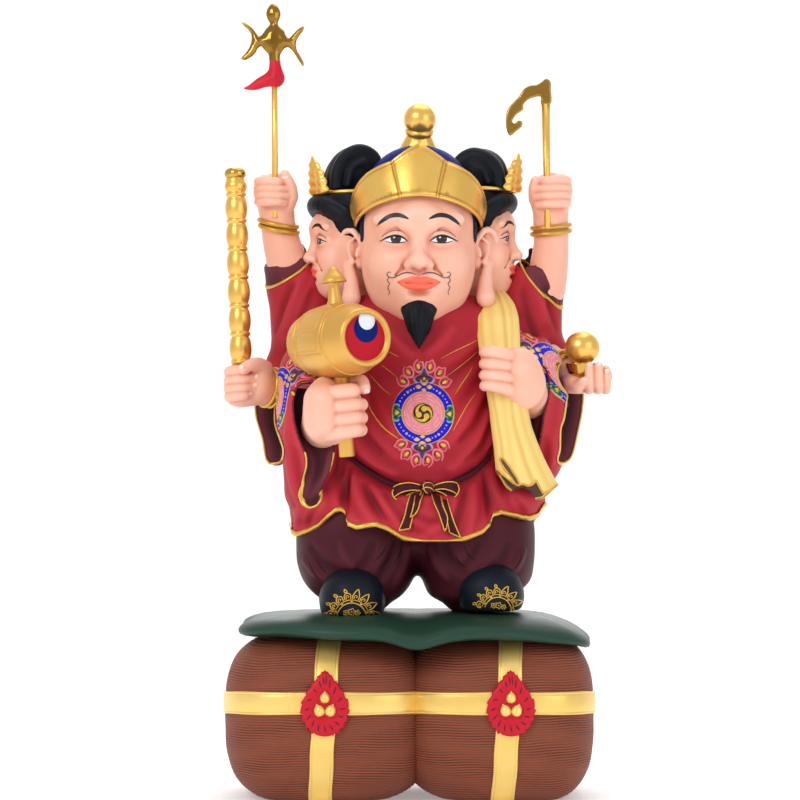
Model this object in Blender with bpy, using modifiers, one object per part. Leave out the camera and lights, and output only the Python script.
"""Three-faced, six-armed deity of wealth standing on two straw bales.

Painted and gilded statue, 1.3 m tall to the tip of the trident. Metres, +Z up,
the figure faces -Y, and the origin is on the floor under the middle of the base.

The front elevation is set out on a drawing grid of 600 units to the metre, in
perspective from a station point in front of the statue: at(u, v, y) is the
point on the sight line of grid square (u, v) that lies y behind the middle
plane, and g(n, y) is the length of n grid units there.
"""

import math

import bmesh
import bpy
from mathutils import Matrix, Vector

# ---------------------------------------------------------------- sizes
UNIT = 1.0 / 600.0          # one grid unit of the elevation, on the middle plane
STATION = 5.0               # distance of the station point
EYE_X = -0.025              # the station point stands a little left of the middle
EYE_Z = 0.487               # and at this height
EYE_U, EYE_V = 400.0, 500.0  # grid square straight ahead of it
FIT = 0.0004                # clearance of a piece that is let into another

BALE_X = 0.153              # middle of each bale
BALE_OUT = {-1: 0.160, 1: 0.141}   # half width, outer side, of the left and the right bale
BALE_IN = 0.185             # half width, towards the seam between the bales
BALE_B = 0.205              # half depth
BALE_Z = 0.138              # height of the bale's middle
BALE_UP = 0.135
BALE_DOWN = 0.150
BALE_N = 3.2                # squareness of the bale
BAND_H = 0.036              # width of the gilded straps
BAND_T = 0.0025             # how far they stand out
BAND_LEAN = math.radians(3.0)
BAND_X = (-0.143, 0.147)

LEAF_A, LEAF_B = 0.288, 0.224
LEAF_TOP = 0.302            # flat top that the feet stand on
LEAF_LOW = 0.250

ROD_TRIDENT = 0.0052
ROD_KEY = 0.0058
ROD_MALLET = 0.0125
ROD_CLUB = 0.0125

VOXEL = 0.0048
FIGURE_FACES = 3300


def g(n, y=0.0):
    return n * UNIT * (STATION + y) / STATION


def at(u, v, y=0.0):
    return Vector((EYE_X + g(u - EYE_U, y), y, EYE_Z + g(EYE_V - v, y)))


# ---------------------------------------------------------------- scene
for old in list(bpy.data.objects):
    bpy.data.objects.remove(old, do_unlink=True)

statue = bpy.data.collections.new("three_faced_wealth_deity")
cutters = bpy.data.collections.new("cutters")
bpy.context.scene.collection.children.link(statue)
bpy.context.scene.collection.children.link(cutters)


def paint(name, rgb, rough, metal=0.0):
    mat = bpy.data.materials.new(name)
    mat.use_nodes = True
    shader = mat.node_tree.nodes["Principled BSDF"]
    shader.inputs["Base Color"].default_value = (*rgb, 1.0)
    shader.inputs["Roughness"].default_value = rough
    shader.inputs["Metallic"].default_value = metal
    mat.diffuse_color = (*rgb, 1.0)
    return mat


RED = paint("robe_red", (0.40, 0.03, 0.045), 0.6)
STRAW = paint("bale_brown", (0.19, 0.065, 0.035), 0.7)
GOLD = paint("gold_paint", (0.72, 0.45, 0.12), 0.38, 0.75)
PLATE = paint("gold_plate", (0.62, 0.42, 0.14), 0.14, 1.0)
CRIMSON = paint("badge_red", (0.55, 0.01, 0.05), 0.5)


def obj_of(bm, name, material, collection=statue):
    bmesh.ops.recalc_face_normals(bm, faces=bm.faces)
    mesh = bpy.data.meshes.new(name)
    bm.to_mesh(mesh)
    bm.free()
    ob = bpy.data.objects.new(name, mesh)
    collection.objects.link(ob)
    if material:
        mesh.materials.append(material)
    return ob


def as_cutter(ob):
    for c in list(ob.users_collection):
        c.objects.unlink(ob)
    cutters.objects.link(ob)
    ob.hide_render = True
    ob.display_type = "WIRE"
    return ob


def boolean(ob, other, operation):
    mod = ob.modifiers.new(f"{operation.lower()}_{other.name}", "BOOLEAN")
    mod.operation = operation
    mod.solver = "EXACT"
    mod.object = other
    return mod


# ---------------------------------------------------------------- shapes
def ball(bm, centre, radii, turn=None, seg=20, rings=12):
    """Ellipsoid. radii is a number or (x, y, z); turn a rotation matrix."""
    if isinstance(radii, (int, float)):
        radii = (radii,) * 3
    m = Matrix.Translation(centre)
    if turn is not None:
        m = m @ turn.to_4x4()
    m = m @ Matrix.Diagonal((*radii, 1.0))
    bmesh.ops.create_uvsphere(bm, u_segments=seg, v_segments=rings, radius=1.0, matrix=m)


def limb(bm, points, radii, seg=16, squash=1.0):
    """Chain of tapered tubes with round joints."""
    for p, r in zip(points, radii):
        ball(bm, p, (r, r * squash, r), seg=seg, rings=10)
    for (p, r), (q, s) in zip(zip(points, radii), list(zip(points, radii))[1:]):
        d = q - p
        if d.length < 1e-6:
            continue
        turn = d.to_track_quat("Z", "Y").to_matrix().to_4x4()
        m = Matrix.Translation((p + q) / 2) @ turn
        bmesh.ops.create_cone(bm, cap_ends=True, cap_tris=False, segments=seg,
                              radius1=r, radius2=s, depth=d.length, matrix=m)


def ring_points(centre, a, b, n, power=2.0, fold=0.0, waves=0, phase=0.0):
    """Closed flat section: a superellipse of half sizes a, b, with optional folds."""
    pts = []
    for i in range(n):
        t = 2 * math.pi * i / n
        c, s = math.cos(t), math.sin(t)
        r = (abs(c) ** power + abs(s) ** power) ** (-1.0 / power)
        r *= 1.0 + fold * math.cos(waves * t + phase)
        pts.append(centre + Vector((a * c * r, b * s * r, 0.0)))
    return pts


def loft(bm, sections):
    """Skin over unlike closed sections of equal point count, with flat ends."""
    rows = [[bm.verts.new(p) for p in ring] for ring in sections]
    n = len(rows[0])
    for low, high in zip(rows, rows[1:]):
        for i in range(n):
            bm.faces.new((low[i], low[(i + 1) % n], high[(i + 1) % n], high[i]))
    bm.faces.new(list(reversed(rows[0])))
    bm.faces.new(rows[-1])


def turned(name, profile, seg, material, where, collection=statue):
    """Solid of revolution about local Z. profile runs down the outer side as (r, z)."""
    mesh = bpy.data.meshes.new(name)
    pts = [(r, 0.0, z) for r, z in profile]
    mesh.from_pydata(pts, [(i, i + 1) for i in range(len(pts) - 1)], [])
    ob = bpy.data.objects.new(name, mesh)
    collection.objects.link(ob)
    mod = ob.modifiers.new("turn", "SCREW")
    mod.axis = "Z"
    mod.steps = mod.render_steps = seg
    mod.use_merge_vertices = True
    mod.merge_threshold = 0.0001
    mod.use_smooth_shade = True
    mesh.materials.append(material)
    ob.matrix_world = where
    return ob


def frozen(ob, name=None):
    """The object's evaluated mesh as a plain object in world space; the first is removed."""
    bpy.context.view_layer.update()
    graph = bpy.context.evaluated_depsgraph_get()
    mesh = bpy.data.meshes.new_from_object(ob.evaluated_get(graph))
    mesh.transform(ob.matrix_world)
    bm = bmesh.new()
    bm.from_mesh(mesh)
    bmesh.ops.remove_doubles(bm, verts=bm.verts, dist=0.00001)
    bmesh.ops.recalc_face_normals(bm, faces=bm.faces)
    if bm.calc_volume(signed=True) < 0:
        bmesh.ops.reverse_faces(bm, faces=bm.faces)
    bm.to_mesh(mesh)
    bm.free()
    made = bpy.data.objects.new(name or ob.name + "_solid", mesh)
    for c in ob.users_collection:
        c.objects.link(made)
    old = ob.name
    bpy.data.objects.remove(ob, do_unlink=True)
    if name is None:
        made.name = old
    return made


def aim(direction, origin):
    """Matrix whose local Z runs along direction."""
    turn = Vector(direction).normalized().to_track_quat("Z", "Y").to_matrix().to_4x4()
    return Matrix.Translation(origin) @ turn


def rod_cutter(name, p, q, radius, seg=24):
    bm = bmesh.new()
    d = q - p
    bmesh.ops.create_cone(bm, cap_ends=True, segments=seg, radius1=radius, radius2=radius,
                          depth=d.length, matrix=aim(d, (p + q) / 2))
    return as_cutter(obj_of(bm, name, None, cutters))


# ---------------------------------------------------------------- the base
def bale_radius(d, side, grow=0.0):
    a = (BALE_OUT[side] if d.x > 0 else BALE_IN) + grow
    c = (BALE_UP if d.z > 0 else BALE_DOWN) + grow
    s = abs(d.x / a) ** BALE_N + abs(d.y / (BALE_B + grow)) ** BALE_N + abs(d.z / c) ** BALE_N
    return s ** (-1.0 / BALE_N)


def bale(side, grow, name, seg=28, rings=16):
    """One straw bale; side is +1 or -1, and its outer half is the rounder."""
    bm = bmesh.new()
    bmesh.ops.create_uvsphere(bm, u_segments=seg, v_segments=rings, radius=1.0)
    for v in bm.verts:
        d = v.co.normalized()
        v.co = d * bale_radius(d, side, grow)
        v.co.x = v.co.x * side + side * BALE_X
        v.co.z += BALE_Z
    return obj_of(bm, name, STRAW)


def bale_front(x, z, grow=0.0):
    """y of the bales' front surface at (x, z)."""
    dx = abs(x) - BALE_X
    dz = z - BALE_Z
    a = (BALE_OUT[1 if x > 0 else -1] if dx > 0 else BALE_IN) + grow
    c = (BALE_UP if dz > 0 else BALE_DOWN) + grow
    rest = 1.0 - abs(dx / a) ** BALE_N - abs(dz / c) ** BALE_N
    return -(BALE_B + grow) * max(rest, 0.0) ** (1.0 / BALE_N)


def slab(name, centre, size, turn=None):
    bm = bmesh.new()
    m = Matrix.Translation(centre)
    if turn is not None:
        m = m @ turn
    bmesh.ops.create_cube(bm, size=1.0, matrix=m @ Matrix.Diagonal((*size, 1.0)))
    return as_cutter(obj_of(bm, name, None, cutters))


def leaf_rim(t):
    """Plan radius share of the lotus leaf at angle t, drawn out to points at both sides."""
    c, s = abs(math.cos(t)), abs(math.sin(t))
    r = (c ** 2.8 + s ** 2.8) ** (-1 / 2.8)
    corner = math.exp(-((math.degrees(math.atan2(s * LEAF_B, c * LEAF_A)) - 24) / 11) ** 2)
    return r * (1.0 + 0.035 * corner + 0.008 * math.cos(9 * t))


def leaf():
    bm = bmesh.new()
    n = 32
    rows = []
    # (share of the rim radius, drop from the top, whether the underside)
    for share, drop in ((0.72, 0.0), (0.88, 0.008), (0.975, 0.020), (1.0, 0.031), (0.94, 0.038)):
        row = []
        for i in range(n):
            t = 2 * math.pi * i / n
            r = leaf_rim(t) * share
            x, y = LEAF_A * math.cos(t) * r, LEAF_B * math.sin(t) * r
            seam = 0.010 * math.exp(-(x / 0.035) ** 2) if drop > 0.01 else 0.0
            row.append(Vector((x, y, LEAF_TOP - drop - seam)))
        rows.append(row)
    rows.append([Vector((p.x * 0.9, p.y * 0.9, LEAF_LOW)) for p in rows[-1]])
    loft(bm, rows)
    return obj_of(bm, "leaf_shape", STRAW)


base = bale(-1, 0.0, "bale_base")
right_bale = as_cutter(bale(1, 0.0, "right_bale"))
boolean(base, right_bale, "UNION")
for i, side in enumerate((-1, 1)):
    level = slab(f"level_slab_{i}", Vector((side * BALE_X * 1.15, 0, 0.158)), (0.40, 0.60, BAND_H))
    strap = bale(side, BAND_T, f"level_strap_{i}")
    boolean(strap, level, "INTERSECT")
    boolean(base, as_cutter(strap), "UNION")
    lean = Matrix.Rotation(BAND_LEAN, 4, "Y")
    upright = slab(f"upright_slab_{i}", Vector((BAND_X[i], 0, 0.158)), (BAND_H * 1.08, 0.60, 0.40), lean)
    strap = bale(side, BAND_T, f"upright_strap_{i}")
    boolean(strap, upright, "INTERSECT")
    boolean(base, as_cutter(strap), "UNION")
boolean(base, as_cutter(leaf()), "UNION")
# the casting's underside is closed across the seam
boolean(base, slab("seam_web", Vector((0, 0, 0.025)), (0.05, 0.10, 0.07)), "UNION")
boolean(base, slab("floor_cut", Vector((0, 0, -0.1)), (2.0, 2.0, 0.2)), "DIFFERENCE")
frozen(base)


def badge(name, u):
    """Flame-edged jewel plate on the crossing of the straps, with three gilded beads."""
    middle = at(u, 706, -0.205)
    cx, cz = middle.x, middle.z
    half_w, up, down = 0.0375, 0.056, 0.048
    bm = bmesh.new()
    n = 24
    rows = []
    for share, lift in ((0.2, 0.0), (0.6, 0.0), (1.0, 0.0), (1.0, 0.0045), (0.86, 0.0080), (0.3, 0.0085)):
        row = []
        for i in range(n):
            t = 2 * math.pi * i / n
            c, s = math.cos(t), math.sin(t)
            tall = up if s > 0 else down
            wide = half_w * (1.0 - 0.42 * max(s, 0.0) ** 1.5)
            ripple = 1.0 + 0.030 * math.cos(12 * t) * (share > 0.9)
            x = cx + wide * c * share * ripple
            z = cz + tall * s * share * ripple
            y = bale_front(x, z, BAND_T) - FIT - lift
            row.append(Vector((x, y, z)))
        rows.append(row)
    loft(bm, rows)
    ob = obj_of(bm, name, CRIMSON)
    for k, (dx, dz) in enumerate(((0.0, 0.0155), (-0.0118, -0.007), (0.0118, -0.007))):
        bm = bmesh.new()
        x, z = cx + dx, cz + dz
        ball(bm, Vector((x, bale_front(x, z, BAND_T) - 0.0105, z)), (0.0115, 0.008, 0.0125), seg=8, rings=5)
        boolean(ob, as_cutter(obj_of(bm, f"{name}_bead_{k}", None, cutters)), "UNION")
    return frozen(ob)


badge("flame_jewel_badge_left", 325.5)
badge("flame_jewel_badge_right", 510.5)

# ---------------------------------------------------------------- the figure
body = bmesh.new()


def section(u, v, y, half_u, front, back, power=2.3, fold=0.0, waves=0, phase=0.0, n=44):
    c = at(u, v, y)
    mid = (back - front) / 2
    return ring_points(Vector((c.x, y + mid, c.z)), g(half_u), (front + back) / 2, n, power, fold, waves, phase)


# robe from hem to shoulders
loft(body, [
    section(417, 524, 0.0, 124, 0.150, 0.150, 2.3, 0.030, 9, 0.4),
    section(417, 505, 0.0, 119, 0.142, 0.146, 2.3, 0.022, 9, 0.4),
    section(418, 478, 0.0, 108, 0.140, 0.145, 2.3, 0.010, 9, 0.4),
    section(420, 440, 0.0, 106, 0.140, 0.145),
    section(420, 400, 0.0, 108, 0.130, 0.140),
    section(418, 360, 0.0, 106, 0.110, 0.135),
    section(418, 325, 0.0, 96, 0.085, 0.120),
    section(418, 300, 0.0, 60, 0.055, 0.095),
])
# skirt point in front and side lappets of the hem
ball(body, at(420, 500, -0.07), (g(74), 0.085, g(42)))
ball(body, at(309, 508, -0.02), (g(22), 0.085, g(25)))
ball(body, at(524, 498, -0.02), (g(21), 0.085, g(22)))
# belly and chest
ball(body, at(424, 428, -0.020), (g(94), 0.152, g(66)))
ball(body, at(420, 360, -0.010), (g(86), 0.118, g(60)))
# bow at the waist
ball(body, at(427, 491, -0.150), (g(9), 0.014, g(9)))
limb(body, [at(424, 492, -0.148), at(397, 498, -0.140)], [g(6), g(9)])
limb(body, [at(430, 491, -0.148), at(457, 494, -0.140)], [g(6), g(9)])
limb(body, [at(421, 498, -0.152), at(406, 530, -0.158)], [g(5), g(8)], squash=0.6)
limb(body, [at(434, 498, -0.152), at(454, 534, -0.156)], [g(5), g(8)], squash=0.6)

# trousers and shoes
for u, v, half, low, toe, tu, tv, tr in ((357, 552, 60, 47, -0.135, 352.5, 594, 30.5), (476, 549, 59, 44, -0.075, 491, 590, 29.5)):
    loft(body, [
        section(u + (4 if u < 400 else -3), 602, 0.0, half * 0.42, 0.070, 0.075, 2.4),
        section(u + (3 if u < 400 else -2), 590, 0.0, half * 0.74, 0.100, 0.105, 2.4),
        section(u + 1, 573, 0.0, half * 0.95, 0.122, 0.125, 2.4),
        section(u, 552, 0.0, half, 0.132, 0.135, 2.4),
        section(u, 525, 0.0, half * 0.98, 0.128, 0.135, 2.4),
        section(u, 500, 0.0, half * 0.9, 0.118, 0.128, 2.4),
    ])
    for step, r in ((0.0, 1.0), (0.035, 1.0), (0.07, 0.96), (0.12, 0.9)):
        p = at(tu, tv, toe - 0.02 + 0.0)
        p.y += step
        ball(body, p, (g(tr, toe) * r, 0.045, g(26, toe) * r))

# main head: long ears, cap, crown and its finial
HEAD_Y = -0.045
ball(body, at(419, 236, HEAD_Y), (g(58), 0.100, g(74)))
ball(body, at(419, 274, HEAD_Y - 0.010), (g(57), 0.088, g(47)))
ball(body, at(419, 266, HEAD_Y - 0.098), (g(9), 0.016, g(10)))
limb(body, [at(419, 308, -0.125), at(418, 326, -0.135), at(418, 346, -0.140)], [g(19), g(14), g(4)], squash=0.7)
for s, u in ((-1, 352), (1, 485)):
    limb(body, [at(u, 240, -0.03), at(u + s, 262, -0.035), at(u - s, 294, -0.045)], [g(10), g(7), g(10)], squash=0.8)
neck = Matrix.Rotation(math.radians(-14), 3, "X")
ball(body, at(419, 204, HEAD_Y + 0.012), (g(67), 0.116, g(56)), turn=neck)
for r, v in ((20, 150), (17, 143), (13, 137)):
    ball(body, at(420, v, HEAD_Y), (g(r), g(r), g(9)))
ball(body, at(420, 118.5, HEAD_Y), g(16.5))
ball(body, at(420, 330, 0.0), (g(60), 0.09, g(40)))

# side heads with hair, topknot and tiara
for s, u in ((-1, 352), (1, 474)):
    y0 = 0.035
    ball(body, at(u, 238, y0), (g(45), 0.068, g(50)))
    ball(body, at(u + s * 12, 268, y0), (g(31), 0.056, g(28)))
    ball(body, at(u + s * 42, 262, y0 - 0.008), (g(7), 0.012, g(9)))
    ball(body, at(u, 212, y0), (g(47), 0.074, g(34)))
    ball(body, at(u + s * (-7 if s < 0 else -15) * -1 if s < 0 else u + 14, 172, y0), (g(26), 0.052, g(27)))
    ball(body, at(u + s * 39, 179, y0), (g(5), 0.030, g(22)))

# raised arms
for s, fu, wu, mu, su in ((-1, 274, 277, 288, 322), (1, 551, 550, 541, 514)):
    limb(body, [at(fu, 204, 0.02), at(wu, 228, 0.03), at(mu, 268, 0.045), at(su, 318, 0.05)], [g(17), g(17), g(20), g(24)])
    limb(body, [at(mu - s * 2, 282, 0.05), at((mu + su) / 2, 305, 0.055), at(su, 335, 0.055)], [g(24), g(33), g(42)], squash=1.05)
    ball(body, at(fu, 198, 0.018), (g(22), 0.036, g(25)))

# lower side arms: the left holds the club, the right carries the jewel
limb(body, [at(247, 386, -0.035), at(270, 386, -0.015), at(300, 378, 0.03)], [g(17), g(16), g(20)])
ball(body, at(247, 384, -0.038), (g(23), 0.038, g(23)))
loft(body, [
    section(281, 464, 0.030, 13, 0.012, 0.030, 2.0, n=24),
    section(284, 440, 0.030, 18, 0.030, 0.050, 2.0, n=24),
    section(287, 405, 0.030, 28, 0.036, 0.056, 2.0, n=24),
    section(296, 375, 0.040, 28, 0.038, 0.060, 2.0, n=24),
    section(312, 345, 0.050, 34, 0.045, 0.065, 2.0, n=24),
])
limb(body, [at(578, 385, -0.02), at(562, 382, 0.0), at(540, 376, 0.03)], [g(10), g(13), g(18)])
ball(body, at(590, 381, -0.025), (g(21), 0.036, g(11)))
limb(body, [at(599, 380, -0.030), at(603, 368, -0.034)], [g(9), g(7)])
loft(body, [
    section(560, 462, 0.030, 10, 0.012, 0.030, 2.0, n=24),
    section(561, 440, 0.030, 14, 0.030, 0.050, 2.0, n=24),
    section(558, 405, 0.030, 24, 0.036, 0.056, 2.0, n=24),
    section(545, 375, 0.040, 30, 0.038, 0.060, 2.0, n=24),
    section(528, 345, 0.050, 34, 0.045, 0.065, 2.0, n=24),
])

# front arms: the left grips the mallet, the right gathers the neck of the sack
limb(body, [at(338, 409, -0.205), at(320, 412, -0.170), at(300, 405, -0.110), at(312, 352, -0.040)], [g(21), g(20), g(24), g(38)])
ball(body, at(337, 409, -0.208), (g(31), 0.045, g(35)))
loft(body, [
    section(308, 504, -0.070, 20, 0.050, 0.040, 2.0, n=28),
    section(309, 480, -0.070, 25, 0.060, 0.060, 2.0, n=28),
    section(309, 445, -0.080, 27, 0.070, 0.070, 2.0, n=28),
    section(304, 415, -0.085, 29, 0.070, 0.070, 2.0, n=28),
    section(307, 385, -0.075, 30, 0.060, 0.065, 2.0, n=28),
    section(318, 355, -0.050, 32, 0.050, 0.060, 2.0, n=28),
])
limb(body, [at(508, 378, -0.175), at(528, 385, -0.145), at(538, 385, -0.100), at(522, 345, -0.040)], [g(24), g(24), g(26), g(36)])
ball(body, at(510, 378, -0.180), (g(31), 0.036, g(31)))
loft(body, [
    section(536, 478, -0.060, 15, 0.045, 0.045, 2.0, n=28),
    section(540, 450, -0.065, 19, 0.060, 0.060, 2.0, n=28),
    section(540, 415, -0.070, 26, 0.065, 0.065, 2.0, n=28),
    section(534, 380, -0.060, 28, 0.055, 0.060, 2.0, n=28),
    section(524, 345, -0.040, 30, 0.045, 0.055, 2.0, n=28),
])
# sack: neck over the shoulder, open mouth in front, full bag on the back
limb(body, [at(500, 296, -0.03), at(499, 312, -0.085), at(500, 345, -0.125), at(505, 380, -0.160), at(511, 420, -0.165), at(520, 452, -0.160), at(531, 486, -0.150)],
     [g(15), g(19), g(21), g(20), g(21), g(23), g(24)], squash=0.55)
limb(body, [at(500, 300, -0.02), at(492, 300, 0.06), at(480, 330, 0.130)], [g(15), g(20), g(34)])
ball(body, at(462, 405, 0.135), (g(78), 0.085, g(80)))

raw = obj_of(body, "figure_raw", RED)
mod = raw.modifiers.new("skin", "REMESH")
mod.mode = "VOXEL"
mod.voxel_size = VOXEL
mod = raw.modifiers.new("ease", "SMOOTH")
mod.factor = 0.5
mod.iterations = 3
figure = frozen(raw, "figure")
mod = figure.modifiers.new("thin", "DECIMATE")
mod.ratio = FIGURE_FACES / (2.0 * len(figure.data.polygons))
figure = frozen(figure)
figure.name = "figure"

# soles are cut flat where they stand on the leaf
boolean(figure, slab("sole_cut", Vector((0, 0, LEAF_TOP + 0.0003 - 0.15)), (2.0, 2.0, 0.3)), "DIFFERENCE")

# ---------------------------------------------------------------- held things
# mallet: barrel on its handle, through the front left fist
MALLET_Y = -0.215
m_top, m_low = at(335, 300, MALLET_Y), at(347, 457, MALLET_Y + 0.008)
m_mid = m_top.lerp(m_low, 0.258)
handle = (m_low - m_top).normalized()
barrel_dir = Vector((math.sin(math.radians(32)), -math.cos(math.radians(32)), 0.0))
barrel_dir = (barrel_dir - handle * barrel_dir.dot(handle)).normalized()
half = g(52, MALLET_Y)
r_mid, r_end = g(36, MALLET_Y), g(27.5, MALLET_Y)
profile = [(0.0, half - 0.004), (r_end - 0.006, half - 0.004), (r_end - 0.0045, half), (r_end - 0.0015, half), (r_end, half - 0.003)]
for i in range(1, 8):
    z = half * (1 - i / 4.0) * 0.93
    profile.append((r_end + (r_mid - r_end) * math.cos(math.pi / 2 * abs(z) / (half * 0.95)) ** 0.8, z))
profile += [(r_end, -half + 0.003), (r_end - 0.0015, -half), (r_end - 0.0045, -half), (r_end - 0.006, -half + 0.004), (0.0, -half + 0.004)]
mallet = turned("mallet", profile, 18, GOLD, aim(barrel_dir, m_mid))
mallet = frozen(mallet)
swell = [(r + 0.0006, z) for r, z in profile if r >= r_end - 0.0001]
swell = [(0.0, half + 0.0006), (r_end + 0.0006, half + 0.0006)] + swell + [(r_end + 0.0006, -half - 0.0006), (0.0, -half - 0.0006)]
boolean(figure, as_cutter(frozen(turned("barrel_room", swell, 18, GOLD, aim(barrel_dir, m_mid), cutters))), "DIFFERENCE")
bm = bmesh.new()
bmesh.ops.create_cone(bm, cap_ends=True, segments=20, radius1=ROD_MALLET, radius2=ROD_MALLET,
                      depth=(m_low - m_mid).length, matrix=aim(m_low - m_mid, (m_mid + m_low) / 2))
boolean(mallet, as_cutter(obj_of(bm, "mallet_handle", None, cutters)), "UNION")
stem = turned("mallet_finial",
              [(0.0, g(72)), (g(3), g(70.5)), (g(7), g(66)), (g(12.2), g(59)), (g(12.4), g(57.0)), (g(7.0), g(56.5)), (g(5.6), g(50)), (g(6.5), g(40)), (g(9), g(33)), (g(9), g(20)), (0.0, g(20))],
              12, GOLD, aim(-handle, m_mid), cutters)
stem = as_cutter(frozen(stem))
boolean(mallet, stem, "UNION")
frozen(mallet)
boolean(figure, rod_cutter("mallet_bore", m_mid + handle * 0.03, m_low + handle * 0.06, ROD_MALLET + FIT), "DIFFERENCE")

# ringed club: eight bellied lengths with rings between them, and a plated cap
CLUB_Y = -0.052
c_top, c_low = at(234.6, 167, CLUB_Y), at(242.0, 398, CLUB_Y)
down = (c_low - c_top).normalized()
total = (c_low - c_top).length
ring_at = [g(v - 167, CLUB_Y) for v in (176.5, 194, 220.5, 248.7, 277, 305.5, 334, 362)]
profile = [(0.0, 0.0), (g(7), -0.0004), (g(10.6), -g(3)), (g(10.8), -g(6.5)), (g(9.6), -ring_at[0])]
for a, b in zip(ring_at, ring_at[1:]):
    for share, r in ((0.5, 11.1),):
        profile.append((g(r), -(a + (b - a) * share)))
    profile += [(g(8.8), -b + g(1.2)), (g(10.2), -b), (g(8.8), -b - g(1.2))]
profile += [(ROD_CLUB, -ring_at[-1] - g(2.4)), (ROD_CLUB, -total), (0.0, -total)]
club = turned("ringed_club", profile, 12, GOLD, aim(-down, c_top))
frozen(club)
boolean(figure, rod_cutter("club_bore", at(241.0, 364.0, CLUB_Y) - down * 0.03, c_low + down * 0.0004, ROD_CLUB + FIT), "DIFFERENCE")
ring_cut = rod_cutter("club_ring_clear", at(241.0, 340.0, CLUB_Y), at(241.0, 364.4, CLUB_Y), g(11.6))
boolean(figure, ring_cut, "DIFFERENCE")

# trident: plated head with its red ribbon, on a gilded rod
T_Y = -0.016
t_top, t_low = at(274.0, 62, T_Y), at(274.6, 218, T_Y)
bm = bmesh.new()
d = t_low - t_top
bmesh.ops.create_cone(bm, cap_ends=True, segments=16, radius1=ROD_TRIDENT, radius2=ROD_TRIDENT, depth=d.length, matrix=aim(d, (t_top + t_low) / 2))
obj_of(bm, "trident_rod", GOLD)
boolean(figure, rod_cutter("trident_bore", t_top + d * 0.5, t_low + d.normalized() * 0.02, ROD_TRIDENT + FIT), "DIFFERENCE")

bm = bmesh.new()
flat = 0.5
ball(bm, at(274, 38, T_Y), (g(12), g(6.5), g(14)), seg=16, rings=10)
limb(bm, [at(273.5, 24, T_Y), at(274, 40, T_Y), at(274.4, 60, T_Y), at(274.4, 68, T_Y)], [g(4), g(8.5), g(5), g(5)], seg=14, squash=0.7)
for p, q, r in ((4, 12, 1), (12, 22, -1)):
    lo, hi = at(272.8, q, T_Y), at(272.6, p - 1.5 if p == 4 else p, T_Y)
    r1, r2 = (g(6.9), g(0.8)) if r > 0 else (g(3.6), g(6.9))
    bmesh.ops.create_cone(bm, cap_ends=True, segments=4, radius1=r1, radius2=r2, depth=(hi - lo).length,
                          matrix=Matrix.Translation((hi + lo) / 2) @ Matrix.Diagonal((1, 0.55, 1, 1)))
for pts in (((262, 38), (254, 37), (249, 29), (242.5, 22)), ((262, 41), (255, 43), (250, 51), (242.5, 57)),
            ((285, 40), (292, 39), (297, 33), (302.3, 26.5)), ((284, 42), (292, 44), (297, 53), (302.3, 62.5))):
    limb(bm, [at(u, v, T_Y) for u, v in pts], [g(5.5), g(4.6), g(2.9), g(1.7)], seg=12, squash=0.8)
limb(bm, [at(274.4, 64, T_Y), at(274.6, 76, T_Y), at(274.8, 79, T_Y)], [g(5.5), g(9), g(7)], seg=14)
limb(bm, [at(272, 77, T_Y - 0.002), at(260, 80.5, T_Y - 0.004), at(247, 86, T_Y - 0.004)], [g(7), g(5.5), g(2.2)], seg=12, squash=0.8)
head = obj_of(bm, "trident_head", PLATE)
mod = head.modifiers.new("skin", "REMESH")
mod.mode = "VOXEL"
mod.voxel_size = 0.0014
head = frozen(head)
mod = head.modifiers.new("thin", "DECIMATE")
mod.ratio = 620.0 / (2.0 * len(head.data.polygons))
head = frozen(head)
boolean(head, rod_cutter("trident_socket", t_top - d.normalized() * 0.0006, t_top + d, ROD_TRIDENT + FIT, 16), "DIFFERENCE")
frozen(head)

# storehouse key: plated crook on a tapering gilded rod
K_Y = -0.016
k_top, k_low = at(546.0, 101.5, K_Y), at(548.2, 226, K_Y)
d = k_low - k_top
bm = bmesh.new()
bmesh.ops.create_cone(bm, cap_ends=True, segments=16, radius1=g(4.5), radius2=g(3.4), depth=d.length, matrix=aim(d, (k_top + k_low) / 2))
obj_of(bm, "key_rod", GOLD)
bm = bmesh.new()
bmesh.ops.create_cone(bm, cap_ends=True, segments=24, radius1=g(4.5) + FIT, radius2=g(3.4) + FIT, depth=d.length + 0.001,
                      matrix=aim(d, (k_top + k_low) / 2))
boolean(figure, as_cutter(obj_of(bm, "key_bore", None, cutters)), "DIFFERENCE")
bm = bmesh.new()
limb(bm, [at(546.4, 84, K_Y), at(546.2, 101.2, K_Y)], [g(4.4), g(4.6)], seg=12)
crook = ((546, 84), (535, 90), (527, 94.5), (519, 102), (511.5, 110), (510.5, 121), (511.5, 129))
limb(bm, [at(u, v, K_Y) for u, v in crook], [g(4.6)] * 7, seg=12, squash=0.9)
limb(bm, [at(511.5, 129, K_Y), at(520, 123, K_Y)], [g(4.4), g(3.4)], seg=12, squash=0.9)
crook_ob = obj_of(bm, "key_crook", PLATE)
mod = crook_ob.modifiers.new("skin", "REMESH")
mod.mode = "VOXEL"
mod.voxel_size = 0.0014
crook_ob = frozen(crook_ob)
mod = crook_ob.modifiers.new("thin", "DECIMATE")
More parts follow.
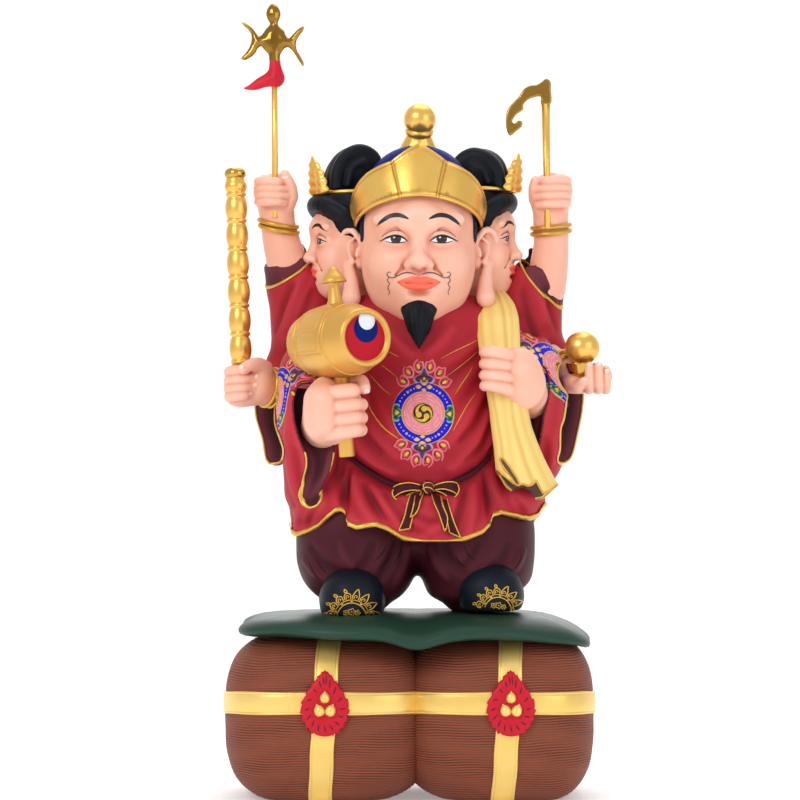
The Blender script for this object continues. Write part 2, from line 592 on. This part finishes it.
mod.ratio = 360.0 / (2.0 * len(crook_ob.data.polygons))
crook_ob = frozen(crook_ob)
flat_end = slab("key_joint", k_top + Vector((0, 0, 0.0003 - 0.05)), (0.03, 0.03, 0.1))
boolean(crook_ob, flat_end, "DIFFERENCE")
frozen(crook_ob)

# jewel on its cup, in the open right palm
J_Y = -0.040
cup_c = at(582.5, 361, J_Y)
ball_r = g(16.8, J_Y)
bm = bmesh.new()
ball(bm, at(582.5, 347, J_Y), ball_r, seg=18, rings=10)
jewel = obj_of(bm, "wish_jewel", GOLD)
cup_profile = [(g(14.5), g(1.5)), (g(19.5), g(2.2)), (g(20), -g(1)), (g(17.5), -g(8)), (g(13), -g(14)), (g(7), -g(17)), (0.0, -g(17.6))]
cup_in = [(0.0, g(0.5))]
cup = turned("jewel_cup", cup_in + cup_profile, 14, PLATE, Matrix.Translation(cup_c))
cup = frozen(cup)
bm = bmesh.new()
ball(bm, at(582.5, 347, J_Y), ball_r + 0.0004, seg=18, rings=10)
boolean(cup, as_cutter(obj_of(bm, "jewel_seat", None, cutters)), "DIFFERENCE")
frozen(cup)
grown = [(0.0, g(30))] + [(g(20.6), g(30))] + [(r + 0.0005 if r > 0 else 0.0, z - 0.0005) for r, z in cup_profile[2:]]
room = turned("cup_room", grown, 14, GOLD, Matrix.Translation(cup_c), cutters)
room = as_cutter(frozen(room))
boolean(figure, room, "DIFFERENCE")

# hollow mouth of the hanging front left sleeve
bm = bmesh.new()
loft(bm, [
    section(310, 499, -0.075, 15, 0.030, 0.022, 2.0, n=14),
    section(312, 480, -0.100, 17, 0.055, 0.030, 2.0, n=14),
    section(317, 455, -0.125, 15, 0.050, 0.022, 2.0, n=14),
    section(320, 438, -0.140, 11, 0.030, 0.015, 2.0, n=14),
])
boolean(figure, as_cutter(obj_of(bm, "sleeve_mouth", None, cutters)), "DIFFERENCE")
figure = frozen(figure)

for ob in statue.objects:
    if ob.type == "MESH":
        ob.data.shade_smooth()
        ob.data.set_sharp_from_angle(angle=math.radians(40))
